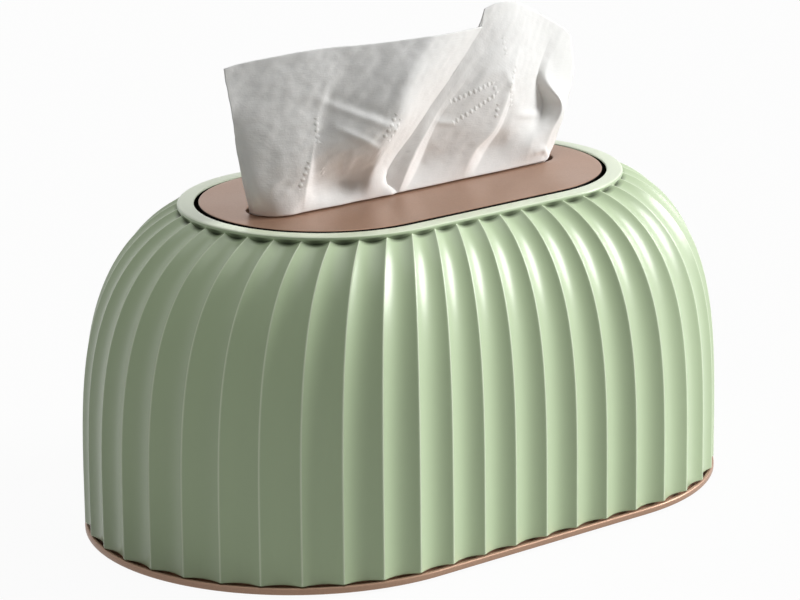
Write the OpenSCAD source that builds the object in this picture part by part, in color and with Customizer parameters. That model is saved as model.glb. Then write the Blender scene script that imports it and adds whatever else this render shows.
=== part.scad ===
// Fluted tissue box: a domed cover with a slotted lid plate let into its rim,
// standing on a flat base plate that the cover lifts off from. A pack of folded
// tissues lies inside, and the top sheet stands up through the slot.
// Millimetres, +Z up, long side along X, front towards -Y. The origin is on the
// surface that the box stands on, under the middle of the box.

/* [Cover] */
// Length over the flute crests at the foot
cover_l = 235; // [222:1:250]
// Width over the flute crests at the foot
cover_w = 145; // [138:1:155]
// Height from the cover's foot to the top of its rim
cover_h = 105.5; // [98:0.5:120]
// How much of a quarter turn the wall's side has bent over at the rim, in degrees
dome_arc = 70; // [60:1:78]
// How long the wall stays upright: 1 is a plain dome, more is straighter below
dome_swell = 1.9; // [1.5:0.1:2.3]
// Number of flutes round the cover, a multiple of four
flutes = 48; // [32:4:60]
// Depth of a flute at the foot
flute_depth = 1.8; // [0.8:0.1:2.4]
// Wall thickness, the same at crests and hollows
wall_t = 2.2; // [1.6:0.1:3]
// Rounding of the cover's foot edge
foot_edge = 0.4; // [0.2:0.1:0.8]

/* [Rim] */
// Length of the smooth rim ring
rim_l = 163.5; // [161:0.5:175]
// Width of the smooth rim ring
rim_w = 98.5; // [96:0.5:108]
// Height of the plain band between the rim's top and the flute crests
rim_band = 1.4; // [1:0.1:3]
// Rounding of the rim's outer top edge
rim_round = 0.8; // [0.3:0.1:0.9]
// Rounding of the rim's inner top edge
mouth_round = 0.5; // [0.2:0.1:0.8]
// Depth of the recess that the lid plate lies in
recess_depth = 2.2; // [1.4:0.1:3]
// Width of the ledge under the lid plate
ledge_w = 4; // [2.5:0.1:6]
// Thickness of the ledge
ledge_t = 2.4; // [1.8:0.1:3.5]

/* [Lid plate] */
// Length of the lid plate
lid_l = 149.5; // [142:0.5:150]
// Width of the lid plate
lid_w = 84.5; // [76:0.5:86]
// Thickness of the lid plate
lid_t = 2.4; // [1.6:0.1:3.2]
// Shadow gap between the lid plate and the rim
lid_gap = 1.4; // [0.5:0.1:2]
// Rounding of the lid plate's top edge
lid_round = 0.7; // [0.2:0.1:1.2]
// Length of the tissue slot
slot_l = 127; // [118:1:130]
// Width of the tissue slot
slot_w = 18; // [15:0.5:20]
// Rounding of the slot's top edge
slot_round = 0.5; // [0.2:0.1:0.8]
// Depth of the smooth lip round the underside of the slot
slot_lip_h = 2; // [1:0.1:4]
// Wall of the slot lip and of the locating rib
rib_t = 1.4; // [1:0.1:2]
// Play between the locating rib and the ledge
rib_play = 0.4; // [0.2:0.1:0.8]
// Reach of the clips under the ledge
clip_reach = 0.9; // [0.5:0.1:1.5]
// Width of each clip on the lid plate
lid_clip_w = 9; // [6:0.5:14]

/* [Base plate] */
// Thickness of the base plate at its visible edge
base_t = 2.4; // [2:0.1:4]
// Rounding of the base plate's edge
base_round = 0.7; // [0.3:0.1:0.9]
// Height of the shadow gap between the base plate's edge and the cover
seat_gap = 0.4; // [0.2:0.1:1]
// Width of the raised bead along the base plate's edge
bead_w = 1; // [0.8:0.1:1.6]
// Depth of the groove inside the bead
groove_depth = 1; // [0.5:0.1:1.2]
// Height of the locating wall above the floor
base_wall_h = 8; // [5:0.5:12]
// Thickness of the locating wall
base_wall_t = 1.6; // [1.2:0.1:2.4]
// Play between the locating wall and the inside of the cover
base_play = 0.5; // [0.3:0.05:0.8]
// Width of each spring clip on the base plate
base_clip_w = 14; // [8:1:20]
// Height of each spring clip above the floor
base_clip_h = 14; // [13:0.5:20]
// Pinch of a spring clip's rounded bump into that play
clip_bump = 0.2; // [0.1:0.05:0.25]

/* [Feet] */
// Diameter of a foot pad
foot_d = 14; // [10:1:20]
// How far a foot pad stands out below the base plate
foot_proud = 1; // [0.5:0.1:2]
// Depth of the foot pad's seat in the base plate
foot_seat = 0.9; // [0.5:0.1:1.2]
// Distance of a foot pad's middle from the end of the base plate
foot_in_x = 37.5; // [32:0.5:50]
// Distance of a foot pad's middle from the side of the base plate
foot_in_y = 36.5; // [32:0.5:44]

/* [Tissues] */
// Length of the tissue pack
pack_l = 172; // [150:1:180]
// Width of the tissue pack
pack_w = 92; // [80:1:98]
// Height of the tissue pack
pack_h = 64; // [30:1:72]
// Corner radius of the tissue pack
pack_round = 10; // [4:0.5:14]
// Height of the drawn sheet's left corner above the lid plate
sheet_h = 50; // [35:1:60]
// Thickness of the drawn sheet's solid
sheet_t = 0.9; // [0.7:0.1:1]
// Gap between the drawn sheet's tail and the pack
tail_gap = 1; // [0.5:0.1:3]

/* [Hidden] */
$fn = 96;

// Heights, from the surface up
base_z = foot_proud;
bead_z = base_z + base_t;
floor_z = bead_z;
cover_z = bead_z + seat_gap;
rim_z = cover_z + cover_h;
crest_z = rim_z - rim_band;
ledge_z = rim_z - recess_depth;
ledge_under_z = ledge_z - ledge_t;
lid_z = ledge_z + lid_t;
pack_z = floor_z + pack_h;

// Places that follow the outline
foot_x = cover_l / 2 - foot_in_x;
foot_y = cover_w / 2 - foot_in_y;
lid_clip_x = 30;
base_clip_x = 45;

// Fits and clip details
lid_clip_play = 0.15;
lid_clip_lip = 0.8;
base_clip_root = 0.5;
base_clip_bump_r = 2;
base_clip_bump_drop = 3;
end_clip_back = 0.4;
foot_seat_play = 0.4;
foot_edge_r = 0.4;
pack_edge_r = 5;

// The lid plate's seat
mouth_l = lid_l + 2 * lid_gap;
mouth_w = lid_w + 2 * lid_gap;
hole_l = mouth_l - 2 * ledge_w;
hole_w = mouth_w - 2 * ledge_w;

// The inside of the cover's wall at its foot, at the hollows of the flutes
inner_l = cover_l - 2 * (flute_depth + wall_t);
inner_w = cover_w - 2 * (flute_depth + wall_t);
socket_l = inner_l - 2 * base_play;
socket_w = inner_w - 2 * base_play;

// Facets of the cover: steps across a flute outside, and rows up the dome
flute_steps = 4;
dome_rows = 10;
inner_rows = 6;
hollow_steps = 2;

green = "#b9c7a9";
copper = "#a98872";
pad_grey = "#7d7d7a";
tissue_white = "#f2f1ee";

// ---------------------------------------------------------------- outlines

// A flat outline with straight sides and half-round ends
module stadium(l, w) {
    square([l - w, w], center = true);
    for (end = [-1, 1]) translate([end * (l - w) / 2, 0]) circle(d = w);
}

// A solid whose outline is a stadium and whose edge follows a profile.
// Each profile point is [distance in from the outline, height].
module stadium_solid(l, w, profile) {
    straight = l - w;
    section = [for (p = profile) [w / 2 - p[0], p[1]]];
    for (end = [-1, 1]) translate([end * straight / 2, 0, 0]) rotate([0, 0, -end * 90])
        rotate_extrude(angle = 180) polygon(section);
    rotate([90, 0, 90]) translate([0, 0, -straight / 2]) linear_extrude(height = straight) {
        polygon(section);
        mirror([1, 0]) polygon(section);
    }
}

// Quarter-round edge: points from the side of the piece up to its flat top
function round_edge(inset, z, r, steps = 4) =
    [for (i = [0 : steps]) [inset + r * (1 - cos(90 * i / steps)), z - r * (1 - sin(90 * i / steps))]];

// ------------------------------------------------------------ fluted cover

// Point at a fraction u of the way round a stadium, from the middle of the
// front towards +X: [x, y, outward x, outward y]
function stadium_point(half_straight, r, u) =
    let (quarter = half_straight + PI * r / 2,
         part = floor(u * 4 + 1e-9) % 4,
         f = u * 4 - floor(u * 4 + 1e-9),
         t = quarter * (part % 2 == 0 ? f : 1 - f),
         a = t <= half_straight ? 0 : (t - half_straight) / r * 180 / PI,
         x = t <= half_straight ? t : half_straight + r * sin(a),
         side_x = part < 2 ? 1 : -1,
         side_y = part == 0 || part == 3 ? 1 : -1)
    [side_x * x, -side_y * r * cos(a), side_x * sin(a), -side_y * cos(a)];

// Perimeter of a stadium
function stadium_round(half_straight, r) = 4 * half_straight + 2 * PI * r;

// The dome runs from the cover's foot to its crests, and t is the share of that
// height. Its turn from upright grows as a power of t, and turn_share is the
// share of the height at which it has reached an angle.
function dome_turn(t) = asin(sin(dome_arc) * pow(t, dome_swell));
function turn_share(a) = pow(sin(a) / sin(dome_arc), 1 / dome_swell);

// The crest line at t: [half straight, radius, height]
function dome_level(t) =
    let (g = (cos(dome_turn(t)) - cos(dome_arc)) / (1 - cos(dome_arc)),
         half_l = (rim_l + (cover_l - rim_l) * g) / 2,
         r = (rim_w + (cover_w - rim_w) * g) / 2)
    [half_l - r, r, cover_z + (crest_z - cover_z) * t];

// How steeply the dome's surface leans back there: elevation of its normal, where
// end is 0 on the long sides and 1 at the tips of the round ends
function dome_lean(t, end) =
    let (dg = -tan(dome_turn(t)) * sin(dome_arc) * dome_swell * pow(t, dome_swell - 1)
              / (1 - cos(dome_arc)),
         dr = dg * (cover_w - rim_w) / 2,
         dl = dg * (cover_l - rim_l) / 2)
    atan2(-(dr + (dl - dr) * end), crest_z - cover_z);

// Flute depth at a level: flutes get shallower as they get narrower
function flute_depth_at(level) =
    flute_depth * stadium_round(level[0], level[1])
    / stadium_round((cover_l - cover_w) / 2, cover_w / 2);

// Hollow of a flute: 0 at the sharp crests, 1 in the middle
function scallop(v) = 1 - pow(2 * v - 1, 2);

// Outside of the wall: a hollow is cut square to the wall low down, and straight
// down at the top, so that every flute ends on the rim's own outline
function fluted_row(t, z_shift = 0, inset = 0) =
    let (level = dome_level(t), depth = flute_depth_at(level))
    [for (i = [0 : flutes * flute_steps - 1])
        let (u = i / (flutes * flute_steps),
             p = stadium_point(level[0], level[1], u),
             end = abs(p[2]),
             lean = dome_lean(t, end),
             cut = 90 * lean / dome_lean(1, end),
             m = depth * scallop((i % flute_steps) / flute_steps) / cos(cut - lean),
             h = m * cos(cut) + inset)
        [p[0] - p[2] * h, p[1] - p[3] * h, level[2] + z_shift - m * sin(cut)]];

// Inside of the wall: the same flutes, one wall thickness in
function hollow_row(t) =
    let (level = dome_level(t), depth = flute_depth_at(level))
    [for (i = [0 : flutes * hollow_steps - 1])
        let (p = stadium_point(level[0], level[1], i / (flutes * hollow_steps)),
             lean = dome_lean(t, abs(p[2])),
             m = wall_t + depth * scallop((i % hollow_steps) / hollow_steps))
        [p[0] - p[2] * m * cos(lean), p[1] - p[3] * m * cos(lean), level[2] - m * sin(lean)]];

// Where the inside meets the flat underside of the rim
function hollow_top_row(t) =
    let (level = dome_level(t), depth = flute_depth_at(level))
    [for (i = [0 : flutes * hollow_steps - 1])
        let (p = stadium_point(level[0], level[1], i / (flutes * hollow_steps)),
             inset = (wall_t + depth) / cos(dome_lean(t, abs(p[2]))))
        [p[0] - p[2] * inset, p[1] - p[3] * inset, ledge_under_z]];

// A plain row on a stadium outline
function plain_row(l, w, inset, z) =
    [for (i = [0 : flutes * hollow_steps - 1])
        let (p = stadium_point((l - w) / 2, w / 2 - inset, i / (flutes * hollow_steps)))
        [p[0], p[1], z]];

// Faces between two rows, where one may have a whole number of times more points
function stitch(a0, na, b0, nb) =
    na >= nb
    ? let (k = na / nb, mid = floor(k / 2))
      [for (j = [0 : nb - 1]) each concat(
          [for (c = [0 : k - 1]) [a0 + k * j + c, b0 + (j + (c < mid ? 0 : 1)) % nb,
                                  a0 + (k * j + c + 1) % na]],
          [[a0 + k * j + mid, b0 + j, b0 + (j + 1) % nb]])]
    : let (k = nb / na, mid = floor(k / 2))
      [for (j = [0 : na - 1]) each concat(
          [for (c = [0 : k - 1]) [a0 + (j + (c < mid ? 0 : 1)) % na, b0 + k * j + c,
                                  b0 + (k * j + c + 1) % nb]],
          [[a0 + j, b0 + (k * j + mid) % nb, a0 + (j + 1) % na]])];

// Index of each row's first point
function row_starts(rows, i = 0, total = 0) =
    i == len(rows) ? [] : concat([total], row_starts(rows, i + 1, total + len(rows[i])));

// A closed shell from rows that go up the outside, over and down the inside
module row_shell(rows) {
    starts = row_starts(rows);
    n = len(rows);
    polyhedron(
        points = [for (row = rows) each row],
        faces = [for (i = [0 : n - 1]) let (j = (i + 1) % n)
                 each stitch(starts[i], len(rows[i]), starts[j], len(rows[j]))],
        convexity = 8);
}

module cover_shell() {
    t_in = (ledge_under_z - cover_z) / (crest_z - cover_z);
    turn_in = dome_turn(t_in);
    rim_edge = round_edge(0, rim_z, rim_round, 2);
    mouth_edge = round_edge(0, rim_z, mouth_round, 2);
    rows = concat(
        [fluted_row(0, 0, foot_edge), fluted_row(0, foot_edge)],
        [for (i = [1 : dome_rows]) fluted_row(turn_share(dome_arc * i / dome_rows))],
        [for (p = rim_edge) plain_row(rim_l, rim_w, p[0], p[1])],
        [for (i = [2 : -1 : 0]) plain_row(mouth_l, mouth_w, -mouth_edge[i][0], mouth_edge[i][1])],
        [plain_row(mouth_l, mouth_w, 0, ledge_z),
         plain_row(mouth_l, mouth_w, ledge_w, ledge_z),
         plain_row(mouth_l, mouth_w, ledge_w, ledge_under_z),
         hollow_top_row(t_in)],
        [for (i = [inner_rows : -1 : 0]) hollow_row(turn_share(turn_in * i / inner_rows))]);
    color(green) row_shell(rows);
}

// --------------------------------------------------------------- lid plate

// Clip that hangs from the lid plate's locating rib and hooks under the ledge.
// It stands at the outside of the rib and points along +Y.
module lid_clip() {
    top = ledge_z;
    hook_z = ledge_under_z - lid_clip_play;
    reach = rib_play + clip_reach;
    lip_z = hook_z - lid_clip_lip;
    rotate([90, 0, 90]) translate([0, 0, -lid_clip_w / 2]) linear_extrude(height = lid_clip_w)
        polygon([[-rib_t, top], [0, top], [0, hook_z], [reach, hook_z],
                 [reach, lip_z], [0, lip_z - reach], [-rib_t, lip_z - reach]]);
}

module lid_plate() {
    rib_inset = (lid_l - hole_l) / 2 + rib_play;
    rib_bottom = ledge_under_z;
    rib_half_w = lid_w / 2 - rib_inset;
    rib_half_l = lid_l / 2 - rib_inset;
    color(copper) difference() {
        union() {
            stadium_solid(lid_l, lid_w, concat(
                [[lid_w / 2, ledge_z], [0, ledge_z]],
                round_edge(0, lid_z, lid_round),
                [[lid_w / 2, lid_z]]));
            stadium_solid(lid_l - 2 * rib_inset, lid_w - 2 * rib_inset,
                [[0, rib_bottom], [0, ledge_z], [rib_t, ledge_z], [rib_t, rib_bottom]]);
            stadium_solid(slot_l + 2 * rib_t, slot_w + 2 * rib_t,
                [[0, ledge_z - slot_lip_h], [0, ledge_z], [rib_t, ledge_z],
                 [rib_t, ledge_z - slot_lip_h]]);
            for (x = [-lid_clip_x, lid_clip_x]) for (turn = [0, 180])
                rotate([0, 0, turn]) translate([x, rib_half_w, 0]) lid_clip();
            for (turn = [90, -90]) rotate([0, 0, turn]) translate([0, rib_half_l, 0]) lid_clip();
        }
        translate([0, 0, ledge_z - slot_lip_h - 1])
            linear_extrude(height = lid_t + slot_lip_h + 2) stadium(slot_l, slot_w);
        stadium_solid(slot_l + 2 * slot_round, slot_w + 2 * slot_round,
            [[slot_w / 2 + slot_round, lid_z + 1], [0, lid_z + 1], [0, lid_z],
             [slot_round, lid_z - slot_round], [slot_w / 2 + slot_round, lid_z - slot_round]]);
    }
}

// -------------------------------------------------------------- base plate

// Spring clip that stands on the floor and points along +Y, with a rounded bump
module base_clip() {
    bump_z = floor_z + base_clip_h - base_clip_bump_drop;
    rotate([90, 0, 90]) translate([0, 0, -base_clip_w / 2]) linear_extrude(height = base_clip_w) {
        translate([-base_wall_t, floor_z - base_clip_root])
            square([base_wall_t, base_clip_h + base_clip_root]);
        intersection() {
            translate([clip_bump - base_clip_bump_r, bump_z]) circle(r = base_clip_bump_r);
            translate([-base_wall_t / 2, bump_z - base_clip_bump_r])
                square([base_clip_bump_r, 2 * base_clip_bump_r]);
        }
    }
}

module foot_seats(d, h, z) {
    for (x = [-foot_x, foot_x]) for (y = [-foot_y, foot_y])
        translate([x, y, z]) cylinder(d = d, h = h);
}

module base_plate() {
    groove_out = bead_w;
    groove_in = flute_depth + wall_t / 2;
    wall_out = (cover_l - socket_l) / 2;
    wall_in = wall_out + base_wall_t;
    color(copper) difference() {
        union() {
            stadium_solid(cover_l, cover_w, concat(
                [[cover_w / 2, base_z], [base_round, base_z]],
                [for (a = [30, 60, 90]) [base_round * (1 - sin(a)), base_z + base_round * (1 - cos(a))]],
                round_edge(0, bead_z, base_round),
                [[groove_out, bead_z], [groove_out, bead_z - groove_depth],
                 [groove_in, bead_z - groove_depth], [groove_in, cover_z],
                 [wall_out, cover_z], [wall_out, floor_z + base_wall_h],
                 [wall_in, floor_z + base_wall_h], [wall_in, floor_z], [cover_w / 2, floor_z]]));
            for (x = [-base_clip_x, 0, base_clip_x]) for (turn = [0, 180])
                rotate([0, 0, turn]) translate([x, socket_w / 2, 0]) base_clip();
            for (turn = [90, -90])
                rotate([0, 0, turn]) translate([0, socket_l / 2 - end_clip_back, 0]) base_clip();
        }
        foot_seats(foot_d + foot_seat_play, foot_seat + 1, base_z - 1);
    }
}

// A soft round pad with a rounded lower edge, glued into its seat
module foot_pad(x, y) {
    color(pad_grey) translate([x, y, 0]) rotate_extrude()
        polygon([[0, 0], [foot_d / 2 - foot_edge_r, 0], [foot_d / 2, foot_edge_r],
                 [foot_d / 2, foot_proud + foot_seat], [0, foot_proud + foot_seat]]);
}
module foot_pad_front_left() foot_pad(-foot_x, -foot_y);
module foot_pad_front_right() foot_pad(foot_x, -foot_y);
module foot_pad_rear_left() foot_pad(-foot_x, foot_y);
module foot_pad_rear_right() foot_pad(foot_x, foot_y);

// ----------------------------------------------------------------- tissues

module rounded_rect(l, w, r) {
    square([l - 2 * r, w], center = true);
    square([l, w - 2 * r], center = true);
    for (x = [-1, 1]) for (y = [-1, 1])
        translate([x * (l / 2 - r), y * (w / 2 - r)]) circle(r = r);
}

// The stack of interfolded sheets, soft at its corners and along its long edges
module tissue_pack() {
    color(tissue_white) intersection() {
        translate([0, 0, floor_z]) linear_extrude(height = pack_h)
            rounded_rect(pack_l, pack_w, pack_round);
        translate([-pack_l / 2, 0, floor_z + pack_h / 2]) rotate([90, 0, 90])
            linear_extrude(height = pack_l) rounded_rect(pack_w, pack_h, pack_edge_r);
    }
}

// The drawn sheet stands in the front of the slot, and its pleats lean over to
// the right as they rise. Each line runs up the cloth through its foot in the
// slot, its waist and its top, [x, y, height], where x and y are shares of the
// slot's half length and half width and the height is a share of sheet_h.
sheet_lines = [
    [[-0.973,  0.27, 0], [-1.070,  0.11, 0.47], [-1.111,  0.33, 0.99]],
    [[-0.900, -0.78, 0], [-0.814, -0.44, 0.49], [-0.598, -0.22, 1.01]],
    [[-0.567, -0.88, 0], [-0.409, -0.89, 0.52], [-0.147, -1.00, 1.03]],
    [[-0.142, -0.88, 0], [-0.013, -1.44, 0.54], [ 0.334, -1.89, 1.06]],
    [[-0.094, -0.26, 0], [ 0.073, -0.67, 0.54], [ 0.396, -1.78, 1.10]],
    [[-0.031, -0.88, 0], [ 0.150, -1.22, 0.54], [ 0.442, -1.89, 1.14]],
    [[ 0.094, -0.60, 0], [ 0.275, -0.78, 0.56], [ 0.536, -1.56, 1.17]],
    [[ 0.362, -0.88, 0], [ 0.570, -1.56, 0.54], [ 0.660, -1.78, 1.14]],
    [[ 0.630, -0.87, 0], [ 0.819, -1.44, 0.56], [ 0.863, -1.56, 1.00]],
    [[ 0.787, -0.44, 0], [ 0.915,  0.22, 0.52], [ 0.973, -1.11, 0.94]],
    [[ 0.929, -0.65, 0], [ 1.132, -0.33, 0.43], [ 1.051, -1.00, 0.84]],
    [[ 0.979,  0.16, 0], [ 1.195,  0.22, 0.44], [ 1.146, -0.33, 0.70]]];
lines_last = len(sheet_lines) - 1;
sheet_cols = 4 * lines_last;
sheet_rows_up = 8;
fold_soft = 0.25;

// The lines' feet, waists and tops as points
line_table = [for (line = sheet_lines)
    [for (p = line) [p[0] * slot_l / 2, p[1] * slot_w / 2, lid_z + p[2] * sheet_h]]];

// Foot, waist and top between the lines, flat from one line to the next
function flat_line(t) =
    let (at = max(0, min(t, lines_last)),
         i = min(floor(at), lines_last - 1))
    line_table[i] + (line_table[i + 1] - line_table[i]) * (at - i);

// The cloth's middle surface at u across and v up, where v is 0 at the lid
// plate's top and 1 at the cloth's edge. Its folds are rounded a little, and
// below the lid plate it hangs straight.
function cloth_point(u, v) =
    let (t = u * lines_last,
         line = (flat_line(t - fold_soft) + 2 * flat_line(t) + flat_line(t + fold_soft)) / 4)
    v < 0 ? [line[0][0], line[0][1], lid_z + v * (lid_z - pack_z - tail_gap)]
    : line[0] * (2 * v - 1) * (v - 1) + line[1] * 4 * v * (1 - v) + line[2] * v * (2 * v - 1);

// The cloth's surface on one side, half a thickness out
function cloth_side(u, v, side) =
    let (e = 0.004,
         du = cloth_point(min(u + e, 1), v) - cloth_point(max(u - e, 0), v),
         dv = cloth_point(u, v + e) - cloth_point(u, v - e),
         n = v < 0 ? cross(du, [0, 0, 1]) : cross(du, dv))
    cloth_point(u, v) + side * sheet_t / 2 * n / norm(n);

module drawn_sheet() {
    levels = concat([-1, -0.1], [for (i = [0 : sheet_rows_up]) i / sheet_rows_up]);
    nc = sheet_cols + 1;
    nr = len(levels);
    front = [for (v = levels) each [for (c = [0 : sheet_cols]) cloth_side(c / sheet_cols, v, 1)]];
    back = [for (v = levels) each [for (c = [0 : sheet_cols]) cloth_side(c / sheet_cols, v, -1)]];
    m = nc * nr;
    quad = function(a, b, c, d) [[a, b, c], [a, c, d]];
    faces = concat(
        [for (r = [0 : nr - 2]) for (c = [0 : nc - 2]) let (i = r * nc + c)
            each quad(i, i + nc, i + nc + 1, i + 1)],
        [for (r = [0 : nr - 2]) for (c = [0 : nc - 2]) let (i = m + r * nc + c)
            each quad(i, i + 1, i + nc + 1, i + nc)],
        [for (c = [0 : nc - 2]) each quad(c, c + 1, m + c + 1, m + c)],
        [for (c = [0 : nc - 2]) let (i = (nr - 1) * nc + c) each quad(i, m + i, m + i + 1, i + 1)],
        [for (r = [0 : nr - 2]) let (i = r * nc) each quad(i, m + i, m + i + nc, i + nc)],
        [for (r = [0 : nr - 2]) let (i = r * nc + nc - 1) each quad(i, i + nc, m + i + nc, m + i)]);
    color(tissue_white) polyhedron(points = concat(front, back), faces = faces, convexity = 12);
}

base_plate();
foot_pad_front_left();
foot_pad_front_right();
foot_pad_rear_left();
foot_pad_rear_right();
cover_shell();
lid_plate();
tissue_pack();
drawn_sheet();
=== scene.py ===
"""Looks of a fluted tissue box: a satin sage-green cover with a rose-copper lid
plate and base plate, a stack of folded tissues inside and the top tissue drawn
up through the slot. Metres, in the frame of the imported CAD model."""

import math

import bpy
import numpy as np
from mathutils import Matrix, Vector, noise


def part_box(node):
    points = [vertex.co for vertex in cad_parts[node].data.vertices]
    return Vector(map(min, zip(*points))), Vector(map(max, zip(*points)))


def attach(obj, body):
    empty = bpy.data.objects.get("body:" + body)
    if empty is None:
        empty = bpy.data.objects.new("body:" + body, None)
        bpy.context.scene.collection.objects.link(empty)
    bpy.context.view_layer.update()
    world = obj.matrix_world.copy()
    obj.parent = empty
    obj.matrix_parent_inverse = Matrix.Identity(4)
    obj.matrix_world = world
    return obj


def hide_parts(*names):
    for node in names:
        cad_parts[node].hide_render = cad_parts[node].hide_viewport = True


bl_info = {
    "name": "Fluted tissue box",
    "version": (1, 0, 0),
    "blender": (4, 5, 0),
    "location": "3D View > Sidebar > Tissue box",
    "description": "Models and finishes a fluted tissue box around its CAD frame",
    "category": "Add Mesh",
}

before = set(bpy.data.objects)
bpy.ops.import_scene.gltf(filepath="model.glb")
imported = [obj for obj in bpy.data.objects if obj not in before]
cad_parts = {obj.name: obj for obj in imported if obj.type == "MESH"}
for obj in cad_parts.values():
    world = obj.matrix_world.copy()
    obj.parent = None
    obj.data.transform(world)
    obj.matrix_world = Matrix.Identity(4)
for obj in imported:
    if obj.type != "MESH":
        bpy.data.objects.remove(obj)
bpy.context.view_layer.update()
MM = 0.001
# How far a clip stands proud of its wall, so that no two faces coincide
HAIR = 0.03 * MM

cover_low, cover_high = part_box("cover_shell")
lid_low, lid_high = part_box("lid_plate")
pack_low, pack_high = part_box("tissue_pack")
base_low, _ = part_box("base_plate")
sheet_low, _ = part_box("drawn_sheet")


# ---------------------------- settings


def length(name, default, description):
    """A size that a user can change, in metres."""
    return bpy.props.FloatProperty(
        name=name,
        default=default,
        description=description,
        min=0,
        precision=5,
        subtype="DISTANCE",
        unit="LENGTH",
    )


def hex_linear(code):
    """An sRGB hex value as linear red, green, blue and alpha."""
    channels = [int(code[i : i + 2], 16) / 255 for i in (1, 3, 5)]
    return (
        *[c / 12.92 if c <= 0.04045 else ((c + 0.055) / 1.055) ** 2.4 for c in channels],
        1.0,
    )


def colour(name, code, description):
    """A colour that a user can change, given as an sRGB hex value."""
    return bpy.props.FloatVectorProperty(
        name=name,
        description=description,
        default=hex_linear(code)[:3],
        min=0,
        max=1,
        size=3,
        subtype="COLOR",
    )


class TissueBoxSizes(bpy.types.PropertyGroup):
    """Sizes of the box, which follow the CAD frame"""

    cover_l: length("Cover length", cover_high.x - cover_low.x, "Over the flute crests at the foot")
    cover_w: length("Cover width", cover_high.y - cover_low.y, "Over the flute crests at the foot")
    cover_z: length("Cover foot", cover_low.z, "Height of the cover's foot")
    rim_z: length("Rim top", cover_high.z, "Height of the rim's top")
    rim_l: length("Rim length", 163.5 * MM, "Length of the smooth rim ring")
    rim_w: length("Rim width", 98.5 * MM, "Width of the smooth rim ring")
    rim_band: length("Rim band", 1.4 * MM, "Plain band between rim top and flute crests")
    rim_round: length("Rim rounding", 0.8 * MM, "Outer top edge of the rim")
    mouth_round: length("Mouth rounding", 0.5 * MM, "Inner top edge of the rim")
    flute_depth: length("Flute depth", 1.8 * MM, "Depth of a flute at the foot")
    wall_t: length("Wall", 2.2 * MM, "Thickness of the cover's wall")
    foot_edge: length("Foot edge", 0.4 * MM, "Rounding of the cover's foot")
    ledge_w: length("Ledge width", 4 * MM, "Ledge that carries the lid plate")
    ledge_t: length("Ledge thickness", 2.4 * MM, "Thickness of that ledge")
    recess: length("Recess", 2.2 * MM, "Depth of the lid plate's recess")
    lid_l: length("Lid length", lid_high.x - lid_low.x, "Length of the lid plate")
    lid_w: length("Lid width", lid_high.y - lid_low.y, "Width of the lid plate")
    lid_top: length("Lid top", lid_high.z, "Height of the lid plate's top")
    lid_round: length("Lid rounding", 0.5 * MM, "Rounding of the lid plate's top edge")
    lid_gap: length("Lid gap", 1.4 * MM, "Shadow gap round the lid plate")
    slot_l: length("Slot length", 127 * MM, "Length of the tissue slot")
    slot_w: length("Slot width", 18 * MM, "Width of the tissue slot")
    slot_round: length("Slot rounding", 0.5 * MM, "Rounding of the slot's top edge")
    rib_t: length("Rib wall", 1.4 * MM, "Wall of the slot lip and the locating rib")
    base_round: length("Base rounding", 0.7 * MM, "Rounding of the base plate's edge")
    base_t: length("Base thickness", 2.4 * MM, "Thickness of the base plate's edge")


class TissueBoxColours(bpy.types.PropertyGroup):
    """Colours of the finishes"""

    cover: colour("Cover", "#b8cba4", "Sage-green moulded plastic")
    lid: colour("Lid plate", "#a98670", "Rose-copper lacquer")
    base: colour("Base plate", "#a4836d", "Rose-copper lacquer on plastic")
    tissue: colour("Tissue", "#f3f3f1", "Two-ply tissue")
    pad: colour("Foot pads", "#8a8986", "Grey silicone")
    floor: colour("Floor", "#f4f4f2", "Studio floor")


# ---------------------------- small helpers


def fresh_selection():
    """Leaves nothing selected, in object mode."""
    if bpy.context.object and bpy.context.object.mode != "OBJECT":
        bpy.ops.object.mode_set(mode="OBJECT")
    bpy.ops.object.select_all(action="DESELECT")


def only(obj):
    """Selects one object and makes it active."""
    fresh_selection()
    obj.select_set(True)
    bpy.context.view_layer.objects.active = obj


def settle(obj, angle):
    """Writes the object's place into its mesh and shades it smooth, apart from
    edges that turn by more than an angle in degrees."""
    only(obj)
    bpy.ops.object.transform_apply(location=True, rotation=True, scale=True)
    bpy.ops.object.shade_smooth_by_angle(angle=math.radians(angle))
    return obj


def apply_modifier(obj, kind, **settings):
    """Adds one modifier, sets it and applies it."""
    only(obj)
    modifier = obj.modifiers.new(kind.title(), kind)
    for key, value in settings.items():
        setattr(modifier, key, value)
    bpy.ops.object.modifier_apply(modifier=modifier.name)


def points_of(obj):
    """The places of a mesh's vertices, one row each."""
    co = np.empty(len(obj.data.vertices) * 3)
    obj.data.vertices.foreach_get("co", co)
    return co.reshape(-1, 3)


def put_points(obj, co):
    """Moves a mesh's vertices to the places given."""
    obj.data.vertices.foreach_set("co", np.asarray(co, float).ravel())
    obj.data.update()


def turn_faces_out():
    """Points all faces of the active mesh outwards."""
    bpy.ops.object.mode_set(mode="EDIT")
    bpy.ops.mesh.select_all(action="SELECT")
    bpy.ops.mesh.normals_make_consistent(inside=False)
    bpy.ops.object.mode_set(mode="OBJECT")


def finish_piece(obj, body, slot, material, *nodes):
    """Gives a finished piece its finish and its body, and hides the CAD nodes it stands for."""
    obj.data.materials.clear()
    obj.data.materials.append(material)
    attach(obj, body)
    if nodes:
        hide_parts(*nodes)


# ---------------------------- outlines


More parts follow.
